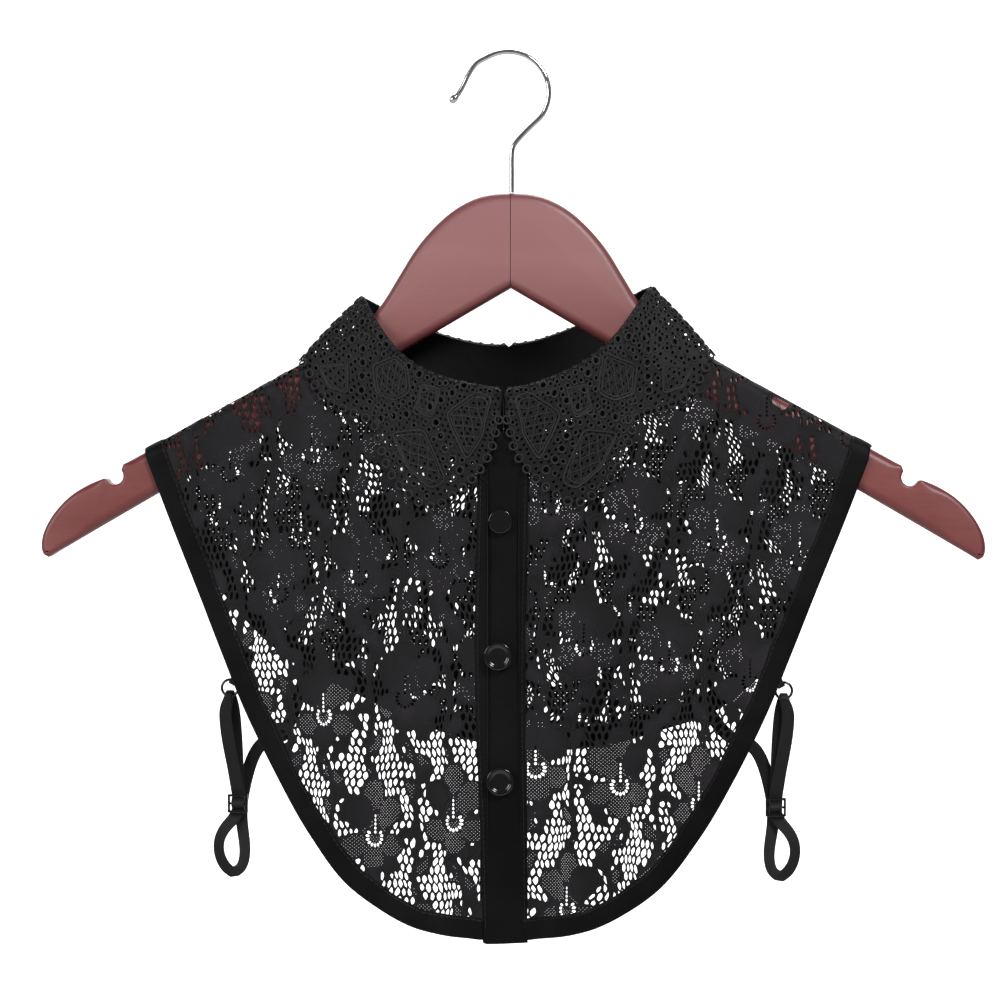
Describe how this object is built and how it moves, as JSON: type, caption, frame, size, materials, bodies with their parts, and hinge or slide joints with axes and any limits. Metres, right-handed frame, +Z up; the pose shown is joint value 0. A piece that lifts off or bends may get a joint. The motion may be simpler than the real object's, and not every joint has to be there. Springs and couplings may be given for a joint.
{
  "type": "lace collar half front on a wooden hanger",
  "caption": "Detachable buttoned lace collar with a pointed guipure collar, satin binding and adjustable elastic side straps, hung on a wooden hanger with a wire hook.",
  "frame": {"origin": "the inside top of the hook, where a rail holds the hanger", "axes": "+X along the hanger to the right as seen from the front, +Y from the front to the back, +Z up"},
  "size_m": [0.445, 0.066, 0.4188],
  "materials": {
    "hanger_wood": "mahogany stain under a satin lacquer",
    "hook_wire": "bright plated wire",
    "floral_lace": "black floral net lace",
    "guipure": "black corded guipure lace",
    "satin": "black satin, folded and topstitched",
    "elastic": "black woven elastic",
    "button_plastic": "gloss black",
    "coated_wire": "gloss black coating on wire"
  },
  "bodies": {
    "root": {"hanger_left": "hanger_wood", "hanger_right": "hanger_wood", "hook": "hook_wire", "front_left": "floral_lace", "front_right": "floral_lace", "back": "floral_lace", "front_binding_left": "satin", "front_binding_right": "satin", "back_binding": "satin", "neckband": "satin", "placket": "satin", "button_stand": "satin", "collar_left": "guipure", "collar_right": "guipure", "button_top": "button_plastic", "button_middle": "button_plastic", "button_bottom": "button_plastic", "tab_left": "elastic", "tab_right": "elastic", "strap_left": "elastic", "strap_right": "elastic", "ring_left": "coated_wire", "ring_right": "coated_wire", "slider_left": "coated_wire", "slider_right": "coated_wire"}
  },
  "joints": []
}
